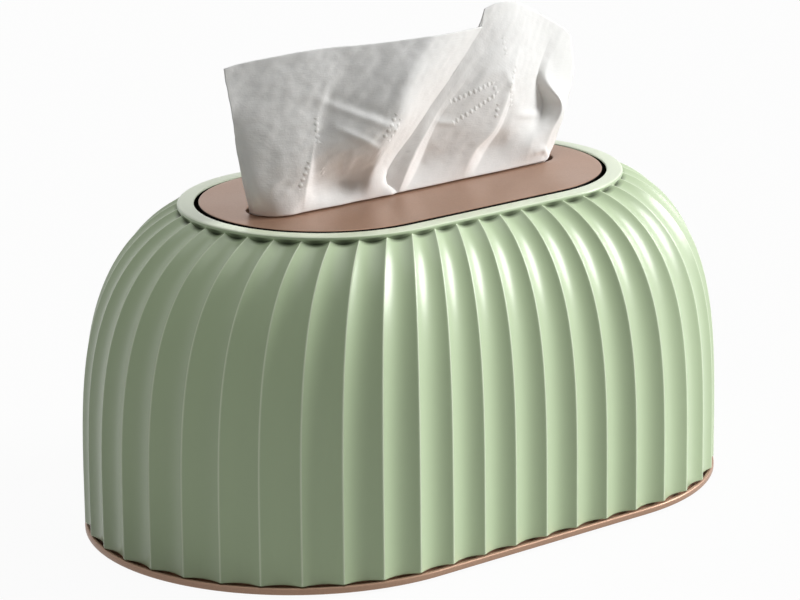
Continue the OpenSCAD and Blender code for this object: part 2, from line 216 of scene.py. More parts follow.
def stadium(half_straight, radius, u):
    """Points and outward directions at shares u of the way round a stadium,
    from the middle of the front towards +X."""
    quarter = half_straight + math.pi * radius / 2
    # a share on the border of two quarters belongs to the later one
    whole = np.floor(u * 4 + 1e-9).astype(int)
    part, f = whole % 4, u * 4 - whole
    t = quarter * np.where(part % 2 == 0, f, 1 - f)
    a = np.where(t <= half_straight, 0, (t - half_straight) / radius)
    x = np.where(t <= half_straight, t, half_straight + radius * np.sin(a))
    side_x = np.where(part < 2, 1, -1)
    side_y = np.where((part == 0) | (part == 3), 1, -1)
    point = np.stack([side_x * x, -side_y * radius * np.cos(a)], 1)
    out = np.stack([side_x * np.sin(a), -side_y * np.cos(a)], 1)
    return point, out


def plain_ring(l, w, inset, z, u):
    """A ring of points on a stadium outline, moved in by an inset."""
    point, _ = stadium((l - w) / 2, w / 2 - inset, u)
    return np.column_stack([point, np.full(len(u), z)])


def quarter_round(z, r, steps, over=True):
    """Inset and height along a rounded edge: over goes up and in to a top at
    height z, and otherwise it goes up and out from an underside at height z."""
    angles = [math.pi / 2 * i / steps for i in range(steps + 1)]
    if over:
        return [(r * (1 - math.cos(a)), z - r * (1 - math.sin(a))) for a in angles]
    return [(r * (1 - math.sin(a)), z + r * (1 - math.cos(a))) for a in angles]


def tube_net(name, rings, closed, **marks):
    """A circle extruded ring by ring, whose points are then set ring by ring.
    closed bridges the last ring to the first, and otherwise both are filled.
    Each mark becomes an attribute of that name, with values for some rings."""
    columns = len(rings[0])
    fresh_selection()
    bpy.ops.mesh.primitive_circle_add(vertices=columns, radius=1, fill_type="NOTHING")
    obj = bpy.context.object
    obj.name = name
    bpy.ops.object.mode_set(mode="EDIT")
    bpy.ops.mesh.select_all(action="SELECT")
    for _ in rings[1:]:
        bpy.ops.mesh.extrude_region_move(TRANSFORM_OT_translate={"value": (0, 0, 1)})
    bpy.ops.object.mode_set(mode="OBJECT")
    co = points_of(obj)
    ring_at = np.rint(co[:, 2]).astype(int)
    turn = np.arctan2(co[:, 0], -co[:, 1]) / (2 * math.pi)
    column_at = np.rint(turn * columns).astype(int) % columns
    for end in ([[0, len(rings) - 1]] if closed else [[0], [len(rings) - 1]]):
        obj.data.vertices.foreach_set("select", np.isin(ring_at, end))
        edges = np.empty(len(obj.data.edges) * 2, int)
        obj.data.edges.foreach_get("vertices", edges)
        ends = ring_at[edges.reshape(-1, 2)]
        on_end = (ends[:, 0] == ends[:, 1]) & np.isin(ends[:, 0], end)
        obj.data.edges.foreach_set("select", on_end)
        obj.data.polygons.foreach_set("select", np.zeros(len(obj.data.polygons), bool))
        bpy.ops.object.mode_set(mode="EDIT")
        bpy.ops.mesh.select_mode(type="EDGE")
        if closed:
            bpy.ops.mesh.bridge_edge_loops()
        else:
            bpy.ops.mesh.edge_face_add()
        bpy.ops.object.mode_set(mode="OBJECT")
    put_points(obj, np.stack(rings)[ring_at, column_at])
    for mark, values in marks.items():
        table = np.zeros((len(rings), columns))
        for ring, value in values.items():
            table[ring] = value
        layer = obj.data.attributes.new(mark, "FLOAT", "POINT")
        layer.data.foreach_set("value", table[ring_at, column_at])
    turn_faces_out()
    return obj


def profile_bar(name, profile, width):
    """A bar along X whose section is a list of [y, z] points."""
    fresh_selection()
    bpy.ops.mesh.primitive_circle_add(vertices=len(profile), radius=1, fill_type="NGON")
    obj = bpy.context.object
    obj.name = name
    put_points(obj, [(-width / 2, y, z) for y, z in profile])
    bpy.ops.object.mode_set(mode="EDIT")
    bpy.ops.mesh.select_all(action="SELECT")
    bpy.ops.mesh.extrude_region_move(TRANSFORM_OT_translate={"value": (width, 0, 0)})
    turn_faces_out()
    return obj


def copies_of(obj, name, places):
    """One piece copied to [x, y, turn in degrees] places, each with its own mesh
    and numbered from 1."""
    made = []
    for number, (x, y, turn) in enumerate(places, 1):
        piece = obj.copy()
        piece.data = obj.data.copy()
        piece.name = f"{name}_{number}"
        bpy.context.collection.objects.link(piece)
        piece.data.transform(
            Matrix.Rotation(math.radians(turn), 4, "Z") @ Matrix.Translation((x, y, 0))
        )
        made.append(piece)
    bpy.data.objects.remove(obj)
    return made


# ---------------------------- materials


def shaded(rgb, share, lift=0.0):
    """A share of a colour with a lift on top, as red, green, blue and alpha."""
    return (*[min(c * share + lift, 1) for c in rgb], 1)


def add_node(tree, kind, settings=None, **links):
    """Adds one shader node. Settings go on the node. Each link is an input's name,
    or i with its number, and holds a value, an output, or a node that gives the
    first output in use."""
    node = tree.nodes.new("ShaderNode" + kind)
    for key, value in (settings or {}).items():
        setattr(node, key, value)
    for key, value in links.items():
        socket = node.inputs[int(key[1:]) if key[1:].isdigit() else key.replace("_", " ")]
        if isinstance(value, bpy.types.Node):
            value = next(output for output in value.outputs if output.enabled)
        if isinstance(value, bpy.types.NodeSocket):
            tree.links.new(value, socket)
        else:
            socket.default_value = value
    return node


def new_finish(name):
    """An empty material and its node tree."""
    material = bpy.data.materials.new(name)
    material.use_nodes = True
    material.node_tree.nodes.clear()
    return material, material.node_tree


def closed_finish(material, tree, **sockets):
    """The material, closed with its shader and its output node."""
    shader = add_node(tree, "BsdfPrincipled", **sockets)
    add_node(tree, "OutputMaterial", Surface=shader)
    return material


def shadow_gap(tree, tone, coat=0.0):
    """The tone, sheen and coat, turned near black and dull where the mesh is
    marked: painted shade in the gap round the lid plate and at the ends of the hollows under the
    rim."""
    gap = add_node(tree, "Attribute", {"attribute_name": "shadow_gap"}).outputs["Fac"]
    black = hex_linear("#0b0907")
    tone = add_node(tree, "Mix", {"data_type": "RGBA"}, i0=gap, i6=tone, i7=black)
    sheen = add_node(tree, "MapRange", Value=gap, To_Min=0.5, To_Max=0.0)
    coat = add_node(tree, "MapRange", Value=gap, To_Min=coat, To_Max=0.0)
    return {"Base_Color": tone, "Specular_IOR_Level": sheen, "Coat_Weight": coat}


def satin_moulded_abs(rgb):
    """Injection-moulded ABS from a fine spark-eroded mould: an even satin skin
    with a very fine grain and faint cloudiness where the plastic flowed."""
    material, tree = new_finish("satin_moulded_abs")
    place = add_node(tree, "TexCoord").outputs["Object"]
    # flow clouds about 45 mm across
    flow = add_node(tree, "TexNoise", Vector=place, Scale=22, Detail=2)
    dark, light = shaded(rgb, 0.965), shaded(rgb, 1.02)
    tone = add_node(tree, "Mix", {"data_type": "RGBA"}, i0=flow, i6=dark, i7=light)
    # painted highlight: the marked crests and the rim's top are made paler, standing in for the
    # light they catch
    worn = add_node(tree, "Attribute", {"attribute_name": "worn_crest"}).outputs["Fac"]
    worn = add_node(tree, "Math", {"operation": "MULTIPLY"}, i0=worn, i1=0.75)
    tone = add_node(tree, "Mix", {"data_type": "RGBA"}, i0=worn, i6=tone, i7=shaded(rgb, 1.2, 0.34))
    # grain of about 0.35 mm, coarser than the real 0.1 mm so that it shows
    grain = add_node(tree, "TexNoise", Vector=place, Scale=2900, Detail=2)
    bump = add_node(tree, "Bump", Height=grain, Strength=0.12, Distance=0.06 * MM)
    rough = add_node(
        tree, "MapRange", Value=flow, From_Min=0.3, From_Max=0.7, To_Min=0.43, To_Max=0.49
    )
    # where the mesh is marked, painted shade turns the skin near black and takes its coat away
    return closed_finish(
        material,
        tree,
        **shadow_gap(tree, tone, coat=1.0),
        Roughness=rough,
        Normal=bump,
        IOR=1.35,
        Coat_Roughness=0.28,
        Coat_IOR=1.32,
    )


def rose_copper_lacquer(name, rgb, roughness):
    """Plastic sprayed with a rose-copper flake lacquer: satin, with a fine
    sparkle of flakes that lie at slightly different angles."""
    material, tree = new_finish(name)
    place = add_node(tree, "TexCoord").outputs["Object"]
    # flakes of about 0.4 mm, drawn four times their real size so that they show
    flakes = add_node(tree, "TexVoronoi", Vector=place, Scale=2500).outputs
    dark, light = shaded(rgb, 0.93), shaded(rgb, 1.06)
    spark = add_node(tree, "Mix", {"data_type": "RGBA"}, i0=flakes["Color"], i6=dark, i7=light)
    bump = add_node(tree, "Bump", Height=flakes["Distance"], Strength=0.15, Distance=0.04 * MM)
    # clouds about 30 mm across, in which the spray dried smoother or duller
    cloud = add_node(tree, "TexNoise", Vector=place, Scale=35, Detail=3)
    low, high = roughness - 0.03, roughness + 0.04
    rough = add_node(
        tree, "MapRange", Value=cloud, From_Min=0.3, From_Max=0.7, To_Min=low, To_Max=high
    )
    # where the mesh is marked, painted shade turns the lacquer near black and dull
    return closed_finish(
        material, tree, **shadow_gap(tree, spark), Metallic=0.45, Roughness=rough, Normal=bump
    )


def creped_tissue(name, rgb, embossed):
    """Two-ply tissue paper: soft and matt, finely creped across, and on the drawn
    sheet with rows of small embossed dots. Some light goes on inside the paper."""
    material, tree = new_finish(name)
    coords = add_node(tree, "TexCoord").outputs
    # the drawn sheet has a UV map of its own, in metres of flat cloth
    place = coords["UV" if embossed else "Object"]
    # fibres of about 1 mm, and crepe ridges about 0.6 mm apart and 4 mm long
    fibres = add_node(tree, "TexNoise", Vector=place, Scale=900, Detail=4)
    drawn_out = add_node(tree, "Mapping", Vector=place, Scale=(260, 1700, 400))
    crepe = add_node(tree, "TexNoise", Vector=drawn_out, Scale=1.0, Detail=2)
    height = add_node(tree, "Math", {"operation": "MULTIPLY_ADD"}, i0=crepe, i1=0.6, i2=fibres)
    if embossed:
        dots = emboss_dots(tree, coords["Object"])
        height = add_node(tree, "Math", {"operation": "MULTIPLY_ADD"}, i0=dots, i1=3.0, i2=height)
    bump = add_node(tree, "Bump", Height=height, Strength=0.5, Distance=0.12 * MM)
    return closed_finish(
        material,
        tree,
        Base_Color=(*rgb, 1),
        Roughness=0.95,
        Normal=bump,
        Subsurface_Weight=0.3,
        Subsurface_Radius=(1.0, 1.0, 1.0),
        Subsurface_Scale=1.2 * MM,
        Sheen_Weight=0.15,
        Sheen_Roughness=0.5,
        IOR=1.45,
    )


# Rows of embossed dots: [x and height over the lid plate where a row starts, x and
# height where it ends] in mm
DOT_ROWS = (
    (-44.1, 30.6, -44.7, 22.5),
    (-48.5, 16.9, -52.3, 8.2),
    (-42.5, 13.7, -40.9, 10.5),
    (-18.7, 29.6, -23.4, 22.0),
    (-16.8, 27.6, -20.7, 20.5),
    (12.8, 27.1, 29.9, 31.4),
    (30.1, 31.3, 31.9, 27.3),
    (13.5, 19.9, 31.0, 27.1),
    (41.9, 35.2, 38.6, 29.2),
    (38.1, 29.3, 40.1, 21.4),
    (36.7, 45.7, 37.2, 39.8),
    (32.2, 23.9, 30.8, 18.9),
)
DOT_PITCH, DOT_BREADTH = 2.0 * MM, 2.6 * MM
ROW_HALF_WIDTH = 0.9 * MM


def emboss_dots(tree, place):
    """Height of the embossing: rows of round-topped dots about 1 mm wide."""
    turns = (2 * math.pi / DOT_PITCH, 0, 2 * math.pi / DOT_BREADTH)
    height = 0.0
    for x0, h0, x1, h1 in np.array(DOT_ROWS) * MM:
        half_run = math.hypot(x1 - x0, h1 - h0) / 2
        # the row's own frame, from its start with X along it and Z across it
        row = add_node(
            tree,
            "Mapping",
            {"vector_type": "TEXTURE"},
            Vector=place,
            Location=(x0, 0, h0 + lid_high.z),
            Rotation=(0, -math.atan2(h1 - h0, x1 - x0), 0),
        )
        wave = add_node(tree, "VectorMath", {"operation": "MULTIPLY"}, i0=row, i1=turns)
        wave = add_node(tree, "VectorMath", {"operation": "COSINE"}, i0=wave)
        dots = add_node(tree, "VectorMath", {"operation": "DOT_PRODUCT"}, i0=wave, i1=(0.5, 0, 0.5))
        dots = add_node(tree, "Math", {"operation": "MAXIMUM"}, i0=dots, i1=0.0)
        # no dots beside the row or past its ends
        at = add_node(tree, "SeparateXYZ", Vector=row).outputs
        for axis, mid, reach in (("X", half_run, half_run), ("Z", 0.0, ROW_HALF_WIDTH)):
            near = add_node(tree, "Math", {"operation": "COMPARE"}, i0=at[axis], i1=mid, i2=reach)
            dots = add_node(tree, "Math", {"operation": "MULTIPLY"}, i0=dots, i1=near)
        height = add_node(tree, "Math", {"operation": "ADD"}, i0=dots, i1=height)
    return height


def matt_silicone(rgb):
    """Cast silicone rubber: dull, a little dusty, with a soft fine grain."""
    material, tree = new_finish("matt_silicone")
    place = add_node(tree, "TexCoord").outputs["Object"]
    # specks of dust about 2.5 mm across
    dust = add_node(tree, "TexNoise", Vector=place, Scale=400, Detail=4)
    dark, light = shaded(rgb, 0.9), shaded(rgb, 1.15)
    tone = add_node(tree, "Mix", {"data_type": "RGBA"}, i0=dust, i6=dark, i7=light)
    bump = add_node(tree, "Bump", Height=dust, Strength=0.2, Distance=0.1 * MM)
    return closed_finish(material, tree, Base_Color=tone, Roughness=0.75, Normal=bump, IOR=1.41)


# ---------------------------- the cover

FLUTES = 48
DOME_ARC = math.radians(70)
DOME_SWELL = 1.9
DOME_RINGS, INSIDE_RINGS = 32, 12
# The CAD cover's hollows end straight down, and these at this angle under the rim
HOLLOW_END = math.radians(62)
# Shares of one flute: how far its crest is rounded off, and how far the painted highlight along it
# reaches
CREST_SOFT, CREST_HIGHLIGHT = 0.024, 0.03
# Shares of one flute at which its section is drawn, close together at the crests
NEAR_CUTS = [0.009, 0.02, 0.038, 0.07, 0.12, 0.2, 0.3, 0.4]
FLUTE_CUTS = [0, *NEAR_CUTS, 0.5, *[1 - cut for cut in reversed(NEAR_CUTS)]]
FLUTE_SHARE = np.tile(FLUTE_CUTS, FLUTES)
ROUND_SHARE = (np.repeat(np.arange(FLUTES), len(FLUTE_CUTS)) + FLUTE_SHARE) / FLUTES


def scallop(share):
    """Hollow of a flute, 0 at its slightly rounded crests and 1 in the middle."""
    near = np.minimum(share, 1 - share)
    soft = np.sqrt(near**2 + CREST_SOFT**2)
    drop = 1 - (1 - 2 * soft) ** 2
    at_crest = 1 - (1 - 2 * CREST_SOFT) ** 2
    return (drop - at_crest) / (1 - at_crest)


class DomeShape:
    """The fluted dome of the CAD cover. t is the share of the height from the
    cover's foot to its crests, and the wall's turn from upright grows with it."""

    def __init__(self, sizes):
        self.s = sizes
        self.crest_z = sizes.rim_z - sizes.rim_band
        self.foot_round = self.around((sizes.cover_l - sizes.cover_w) / 2, sizes.cover_w / 2)

    def around(self, half_straight, radius):
        """Way round a stadium."""
        return 4 * half_straight + 2 * math.pi * radius

    def turn(self, t):
        """How far the wall has turned from upright."""
        return math.asin(math.sin(DOME_ARC) * t**DOME_SWELL)

    def share(self, turn):
        """Share of the height at which the wall has turned that far."""
        return (math.sin(turn) / math.sin(DOME_ARC)) ** (1 / DOME_SWELL)

    def level(self, t):
        """Half straight, radius and height of the crests."""
        s = self.s
        g = (math.cos(self.turn(t)) - math.cos(DOME_ARC)) / (1 - math.cos(DOME_ARC))
        half_l = (s.rim_l + (s.cover_l - s.rim_l) * g) / 2
        r = (s.rim_w + (s.cover_w - s.rim_w) * g) / 2
        return half_l - r, r, s.cover_z + (self.crest_z - s.cover_z) * t

    def lean(self, t, end):
        """Elevation of the dome's normal: end is 0 on the sides, 1 at the tips."""
        s = self.s
        bend = math.tan(self.turn(t)) * math.sin(DOME_ARC) * DOME_SWELL * t ** (DOME_SWELL - 1)
        dg = -bend / (1 - math.cos(DOME_ARC))
        dr = dg * (s.cover_w - s.rim_w) / 2
        dl = dg * (s.cover_l - s.rim_l) / 2
        return np.arctan2(-(dr + (dl - dr) * end), self.crest_z - s.cover_z)

    def depth(self, half_straight, r):
        """Depth of the flutes, which goes with the way round."""
        return self.s.flute_depth * self.around(half_straight, r) / self.foot_round

    def outside(self, t, z_shift=0.0, inset=0.0):
        """A ring of the fluted outside."""
        half, r, z = self.level(t)
        p, out = stadium(half, r, ROUND_SHARE)
        end = np.abs(out[:, 0])
        lean = self.lean(t, end)
        cut = HOLLOW_END * lean / self.lean(1, end)
        m = self.depth(half, r) * scallop(FLUTE_SHARE) / np.cos(cut - lean)
        h = (m * np.cos(cut) + inset)[:, None]
        return np.column_stack([p - out * h, z + z_shift - m * np.sin(cut)])

    def inside(self, t, top=None):
        """A ring of the inside, which follows the flutes, or a plain one where it
        meets the ledge at height top."""
        half, r, z = self.level(t)
        p, out = stadium(half, r, ROUND_SHARE)
        lean = self.lean(t, np.abs(out[:, 0]))
        if top is not None:
            inset = ((self.s.wall_t + self.depth(half, r)) / np.cos(lean))[:, None]
            return np.column_stack([p - out * inset, np.full(len(p), top)])
        m = self.s.wall_t + self.depth(half, r) * scallop(FLUTE_SHARE)
        return np.column_stack([p - out * (m * np.cos(lean))[:, None], z - m * np.sin(lean)])


class TISSUEBOX_OT_cover(bpy.types.Operator):
    """Models the fluted cover with its rim, recess and ledge"""

    bl_idname = "tissuebox.cover"
    bl_label = "Fluted cover"

    def execute(self, context):
        s = context.scene.tissue_box_sizes
        dome = DomeShape(s)
        foot_turns = np.radians([0, 25, 50, 70, 90])
        rings = [
            dome.outside(0, s.foot_edge * (1 - math.cos(a)), s.foot_edge * (1 - math.sin(a)))
            for a in foot_turns
        ]
        turns = np.linspace(0, DOME_ARC, DOME_RINGS + 1)[1:]
        rings += [dome.outside(dome.share(turn)) for turn in turns]
        crest_ring = len(rings) - 1
        # a painted highlight along the crests, and painted shade at the ends of the hollows under
        # the rim
        crest_highlight = np.clip(1 - np.minimum(FLUTE_SHARE, 1 - FLUTE_SHARE) / CREST_HIGHLIGHT, 0, 1)
        worn = {ring: crest_highlight for ring in range(len(foot_turns) - 1, len(rings))}
        hollow = scallop(FLUTE_SHARE)
        dark = {crest_ring: 0.8 * hollow, crest_ring + 1: 0.7 * hollow}

        rim = s.rim_l, s.rim_w
        mouth = s.lid_l + 2 * s.lid_gap, s.lid_w + 2 * s.lid_gap
        path = [(*rim, 0, dome.crest_z + 0.2 * MM)]
        path += [(*rim, i, z) for i, z in quarter_round(s.rim_z, s.rim_round, 6)]
        top_ring = crest_ring + len(path)
        edge = reversed(quarter_round(s.rim_z, s.mouth_round, 4))
        path += [(*mouth, -i, z) for i, z in edge]
        mouth_ring = crest_ring + len(path)
        ledge_z = s.rim_z - s.recess
        under_z = ledge_z - s.ledge_t
        path += [(*mouth, 0, s.rim_z - s.mouth_round - 0.1 * MM), (*mouth, 0, ledge_z)]
        path += [(*mouth, s.ledge_w, ledge_z), (*mouth, s.ledge_w, under_z)]
        rings += [plain_ring(*row, ROUND_SHARE) for row in path]
        # a painted highlight on the rim's top, and painted shade on the mouth's wall and the ledge
        # in the gap
        worn |= {ring: 1 for ring in range(top_ring - 3, mouth_ring)}
        dark |= {ring: 1 for ring in range(mouth_ring + 1, mouth_ring + 4)}

        top = (under_z - s.cover_z) / (dome.crest_z - s.cover_z)
        rings.append(dome.inside(top, top=under_z))
        turns = np.linspace(dome.turn(top), 0, INSIDE_RINGS)
        rings += [dome.inside(dome.share(turn)) for turn in turns]
        cover = settle(tube_net("cover", rings, True, shadow_gap=dark, worn_crest=worn), 32)
        finish = satin_moulded_abs(context.scene.tissue_box_colours.cover)
        finish_piece(cover, "cover", "green_cover", finish, "cover_shell")
        return {"FINISHED"}


class TISSUEBOX_OT_lid(bpy.types.Operator):
    """Models the slotted lid plate with its slot lip, locating rib and clips"""

    bl_idname = "tissuebox.lid_plate"
    bl_label = "Lid plate"

    def execute(self, context):
        s = context.scene.tissue_box_sizes
        u = np.arange(384) / 384
        play, lower_edge, bevel = 0.4 * MM, 0.15 * MM, 0.3 * MM
        under = s.rim_z - s.recess
        rib_in = s.ledge_w - s.lid_gap + play
        rib_z = under - s.ledge_t
        rib_edge = 0.2 * MM
        lip_z = under - 2 * MM
        rib_l, rib_w = s.lid_l - 2 * rib_in, s.lid_w - 2 * rib_in
        lid, rib, slot = (s.lid_l, s.lid_w), (rib_l, rib_w), (s.slot_l, s.slot_w)
        lip = s.slot_l + 2 * s.rib_t, s.slot_w + 2 * s.rib_t
        path = [(*rib, 0, under), (*lid, lower_edge, under), (*lid, 0, under + lower_edge)]
        path += [(*lid, 0, s.lid_top - s.lid_round - 0.1 * MM)]
        path += [(*lid, i, z) for i, z in quarter_round(s.lid_top, s.lid_round, 6)]
        # rings near both edges of the flat top keep it evenly shaded
        path += [(*lid, 2 * MM, s.lid_top), (*lid, 5 * MM, s.lid_top), (*lip, -2 * MM, s.lid_top)]
        edge = reversed(quarter_round(s.lid_top, s.slot_round, 5))
        path += [(*slot, -i, z) for i, z in edge]
        path += [(*slot, 0, lip_z + bevel), (*slot, -bevel, lip_z), (*lip, bevel, lip_z)]
        path += [(*lip, 0, lip_z + bevel), (*lip, 0, under), (*rib, s.rib_t, under)]
        path += [(*rib, s.rib_t, rib_z + rib_edge), (*rib, s.rib_t - rib_edge, rib_z)]
        path += [(*rib, rib_edge, rib_z), (*rib, 0, rib_z + rib_edge)]
        # painted shade on the plate's outer edge in the gap round it, up to its rounding
        dark = {ring: 1 for ring in range(1, 7)} | {7: 0.4}
        plate = tube_net("lid", [plain_ring(*row, u) for row in path], True, shadow_gap=dark)
        settle(plate, 30)
        colour_of_lid = context.scene.tissue_box_colours.lid
        finish = rose_copper_lacquer("rose_copper_lacquer", colour_of_lid, 0.36)
        finish_piece(plate, "cover", "copper_lid", finish, "lid_plate")

        # each clip's hook reaches under the cover's ledge and slopes back below
        hook_z = rib_z - 0.15 * MM
        reach, nose = 1.3 * MM, 0.8 * MM
        back, low = -s.rib_t - HAIR, hook_z - nose - reach
        profile = [(back, under - HAIR), (HAIR, under - HAIR), (HAIR, hook_z), (reach, hook_z)]
        profile += [(reach, hook_z - nose), (HAIR, low), (back, low)]
        clip = profile_bar("lid_clip", profile, 9 * MM)
        apply_modifier(clip, "BEVEL", width=0.15 * MM, segments=2)
        settle(clip, 30)
        along = [(x, rib_w / 2, turn) for turn in (0, 180) for x in (-30 * MM, 30 * MM)]
        ends = [(0, rib_l / 2, turn) for turn in (90, -90)]
        for piece in copies_of(clip, "lid_clip", along + ends):
            finish_piece(piece, "cover", "copper_lid", finish)
        return {"FINISHED"}


PAD_PLACES = ("front_left", "front_right", "rear_left", "rear_right")


class TISSUEBOX_OT_base(bpy.types.Operator):
    """Models the base plate with its bead, groove, wall, clips and pad seats"""

    bl_idname = "tissuebox.base_plate"
    bl_label = "Base plate"

    def execute(self, context):
        s = context.scene.tissue_box_sizes
        u = np.arange(384) / 384
        low = base_low.z
        bead_z = low + s.base_t
        groove_out, groove_in = 1 * MM, s.flute_depth + s.wall_t / 2
        groove_z = bead_z - 1 * MM
        wall_t, wall_edge = 1.6 * MM, 0.3 * MM
        wall_out = s.flute_depth + s.wall_t + 0.5 * MM
        wall_in = wall_out + wall_t
        wall_z = bead_z + 8 * MM
        fillet, middle_in = 0.4 * MM, 60 * MM
        path = [(middle_in, low), (20 * MM, low)]
        path += quarter_round(low, s.base_round, 5, over=False)
        path += quarter_round(bead_z, s.base_round, 5)
        path += [(groove_out, bead_z), (groove_out, groove_z), (groove_in, groove_z)]
        path += [(groove_in, s.cover_z), (wall_out, s.cover_z), (wall_out, wall_z - wall_edge)]
        path += [(wall_out + wall_edge, wall_z), (wall_in - wall_edge, wall_z)]
        path += [(wall_in, wall_z - wall_edge), (wall_in, bead_z + fillet)]
        path += [(wall_in + fillet, bead_z), (middle_in, bead_z)]
        rings = [plain_ring(s.cover_l, s.cover_w, i, z, u) for i, z in path]
        plate = tube_net("base", rings, False)
        seat_depth, seat_play = 2 * MM, 0.2 * MM
        for node in PAD_PLACES:
            pad_low, pad_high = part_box("foot_pad_" + node)
            middle = (pad_low + pad_high) / 2
            fresh_selection()
            bpy.ops.mesh.primitive_cylinder_add(
                vertices=64,
                radius=(pad_high.x - pad_low.x) / 2 + seat_play,
                depth=seat_depth,
                location=(middle.x, middle.y, pad_high.z + 0.02 * MM - seat_depth / 2),
            )
            cutter = bpy.context.object
            apply_modifier(plate, "BOOLEAN", object=cutter, operation="DIFFERENCE", solver="EXACT")
            bpy.data.objects.remove(cutter)
        settle(plate, 30)
        colour_of_base = context.scene.tissue_box_colours.base
        finish = rose_copper_lacquer("rose_copper_on_abs", colour_of_base, 0.4)
        finish_piece(plate, "base", "copper_base", finish, "base_plate")

        # each clip is a tongue with a round bump towards the cover's wall
        clip_low, clip_high = bead_z - 0.3 * MM, bead_z + 14 * MM
        bump_r, bump_z = 2 * MM, bead_z + 11 * MM
        bump_y = 0.2 * MM - bump_r
        bump_turn = math.acos(-bump_y / bump_r)
        profile = [(-wall_t - HAIR, clip_low), (HAIR, clip_low)]
        profile += [
            (bump_y + bump_r * math.cos(a), bump_z + bump_r * math.sin(a))
            for a in np.linspace(-bump_turn, bump_turn, 7)
        ]
        profile += [(HAIR, clip_high), (-wall_t - HAIR, clip_high)]
        clip = profile_bar("base_clip", profile, 14 * MM)
        apply_modifier(clip, "BEVEL", width=0.2 * MM, segments=2, limit_method="ANGLE")
        settle(clip, 30)
        side, end = s.cover_w / 2 - wall_out, s.cover_l / 2 - wall_out - 0.4 * MM
        along = [(x, side, turn) for turn in (0, 180) for x in (-45 * MM, 0, 45 * MM)]
        ends = [(0, end, turn) for turn in (90, -90)]
        for piece in copies_of(clip, "base_clip", along + ends):
            finish_piece(piece, "base", "copper_base", finish)
        return {"FINISHED"}


class TISSUEBOX_OT_pads(bpy.types.Operator):
    """Finishes the four foot pads of the CAD frame"""

    bl_idname = "tissuebox.foot_pads"
    bl_label = "Foot pads"

    def execute(self, context):
        finish = matt_silicone(context.scene.tissue_box_colours.pad)
        for place in PAD_PLACES:
            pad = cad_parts["foot_pad_" + place]
            pad.data.materials.clear()
            pad.data.materials.append(finish)
        return {"FINISHED"}


# ---------------------------- tissues

PACK_LAYERS = 36


def rounded_rect(half_l, half_w, r, u):
    """Points round a rectangle with rounded corners, from the middle of the front."""
    corner = math.pi * r / 2
    front, side = half_l - r, half_w - r
    runs = [front, corner, 2 * side, corner, 2 * front, corner, 2 * side, corner, front]
    starts = np.concatenate([[0], np.cumsum(runs)])
    # where each straight run starts and which way it heads, then the corners' middles
    begin = np.array(
        [(0, -half_w), (half_l, -side), (front, half_w), (-half_l, side), (-front, -half_w)]
    )
    heading = np.array([(1, 0), (0, 1), (-1, 0), (0, -1), (1, 0)])
    middle = np.array([(front, -side), (front, side), (-front, side), (-front, -side)])
    made = np.zeros((len(u), 2))
    for i, at in enumerate(u * starts[-1]):
        run = min(int(np.searchsorted(starts, at, "right")) - 1, len(runs) - 1)
        k, done = run // 2, at - starts[run]
        if run % 2:
            a = math.pi / 2 * (k - 1) + done / r
            made[i] = middle[k] + (r * math.cos(a), r * math.sin(a))
        else:
            made[i] = begin[k] + heading[k] * done
    return made


class TISSUEBOX_OT_pack(bpy.types.Operator):
    """Models the stack of folded tissues, layer on layer"""

    bl_idname = "tissuebox.tissue_pack"
    bl_label = "Tissue pack"

    def execute(self, context):
        u = np.arange(320) / 320
        half_l = (pack_high.x - pack_low.x) / 2
        half_w = (pack_high.y - pack_low.y) / 2
        layer = (pack_high.z - pack_low.z) / PACK_LAYERS
        corner = 8 * MM

        def ring(inset, z, key, wave):
            """One ring of a layer, whose edge wanders by a wave about 40 mm long."""
            xy = rounded_rect(half_l - inset, half_w - inset, corner, u)
            out = np.array([noise.noise(Vector((x * 26, y * 26, key * 0.73))) for x, y in xy])
            xy = xy * (1 - (0.4 - 0.6 * out[:, None]) * wave / half_w)
            return np.column_stack([xy, np.full(len(u), z)])

        # each layer bulges at its fold, and the stack's middle layers stand out most
        rings = []
        for i in range(PACK_LAYERS):
            z = pack_low.z + i * layer
            pull = 0.7 * MM * (1 - math.sin(math.pi * (i + 0.5) / PACK_LAYERS))
            for inset, f in ((0.9 * MM, 0.02), (0.25 * MM, 0.3), (0.25 * MM, 0.72)):
                rings.append(ring(inset + pull, z + layer * f, i, 1.1 * MM))
        # the top is uneven, so it stays a little under the CAD box
        for inset in (1.6 * MM, 4 * MM, 9 * MM, 16 * MM, 25 * MM, 34 * MM):
            flat = ring(inset, pack_high.z - 0.6 * MM, PACK_LAYERS, 0.6 * MM)
            flat[:, 2] += [0.5 * MM * noise.noise(Vector((x * 30, y * 45, 3))) for x, y, _ in flat]
            rings.append(flat)
        pack = settle(tube_net("pack", rings, False), 50)
        tissue = context.scene.tissue_box_colours.tissue
        finish = creped_tissue("creped_tissue_stack", tissue, False)
        finish_piece(pack, "base", "tissue", finish, "tissue_pack")
        return {"FINISHED"}


